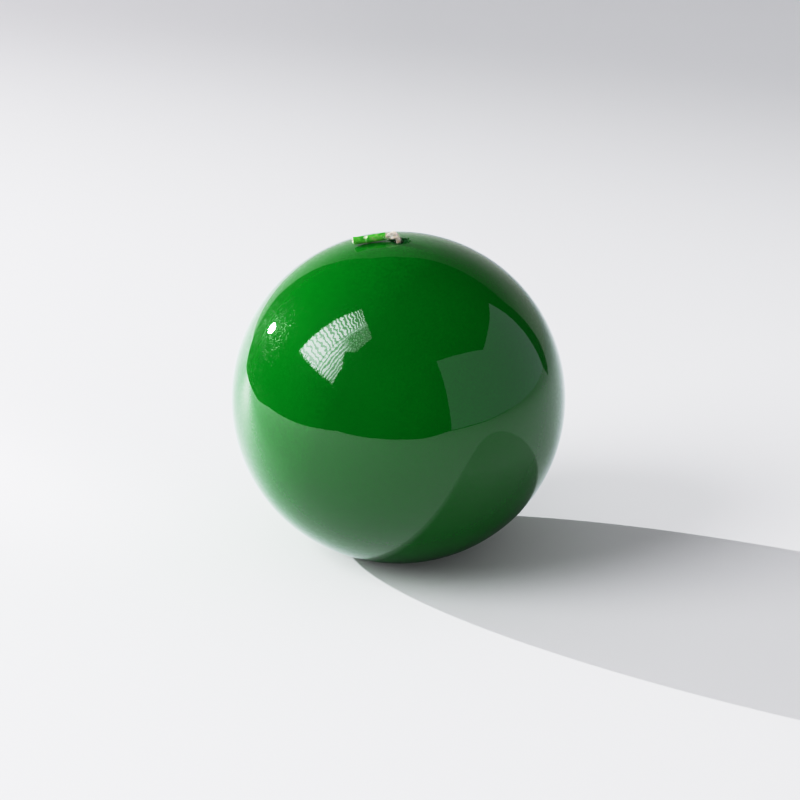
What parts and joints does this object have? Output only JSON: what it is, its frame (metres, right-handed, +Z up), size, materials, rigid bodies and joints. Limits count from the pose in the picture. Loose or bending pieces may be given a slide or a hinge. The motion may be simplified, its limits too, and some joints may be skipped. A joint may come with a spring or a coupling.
{
  "type": "ball candle",
  "caption": "Glossy lacquered wax ball with a levelled base, a plaited cotton wick held by a steel sustainer, and a wax-coated wick end that folds over and swings.",
  "frame": {"origin": "centre of the levelled base, on the plane it stands on", "axes": "+Z up through the wick's root; the folded wick lies towards -X; -Y is the side seen in the picture"},
  "size_m": [0.0798, 0.0798, 0.0796],
  "materials": {
    "green_lacquer": "high-gloss clear lacquer over saturated green wax",
    "core_wax": "pressed off-white paraffin, slightly granular",
    "tinned_steel": "bright tinned sheet, satin",
    "cotton": "undyed cotton yarn with a waxy touch",
    "wick_wax": "thin translucent green wax, semi-gloss, cracked at the bend"
  },
  "bodies": {
    "candle": {"wax_core": "core_wax", "colour_coat": "green_lacquer", "wick_sustainer": "tinned_steel", "wick_strand_a": "cotton", "wick_strand_b": "cotton", "wick_strand_c": "cotton"},
    "wick_root": {"wick_root_strand_a": "cotton", "wick_root_strand_b": "cotton", "wick_root_strand_c": "cotton"},
    "wick_bend": {"wick_bend_strand_a": "cotton", "wick_bend_strand_b": "cotton", "wick_bend_strand_c": "cotton"},
    "wick_tip": {"wick_tip_strand_a": "cotton", "wick_tip_strand_b": "cotton", "wick_tip_strand_c": "cotton", "wick_wax_sleeve": "wick_wax"}
  },
  "joints": [
    {"name": "wick_swing", "type": "hinge", "parent": "candle", "child": "wick_root", "pos_m": [0, 0, 0.0776], "axis": [0, 0, 1], "range_deg": [-45, 45]},
    {"name": "wick_fold", "type": "hinge", "parent": "wick_root", "child": "wick_bend", "pos_m": [-0.00009, 0, 0.07812], "axis": [0, 1, 0], "range_deg": [0, 49.3]},
    {"name": "wick_fold_upper", "type": "hinge", "parent": "wick_bend", "child": "wick_tip", "pos_m": [-0.00104, 0, 0.07894], "axis": [0, 1, 0], "range_deg": [0, 49.3]}
  ],
  "couplings": [
    {"joint": "wick_fold_upper", "follows": "wick_fold", "ratio": 1}
  ]
}
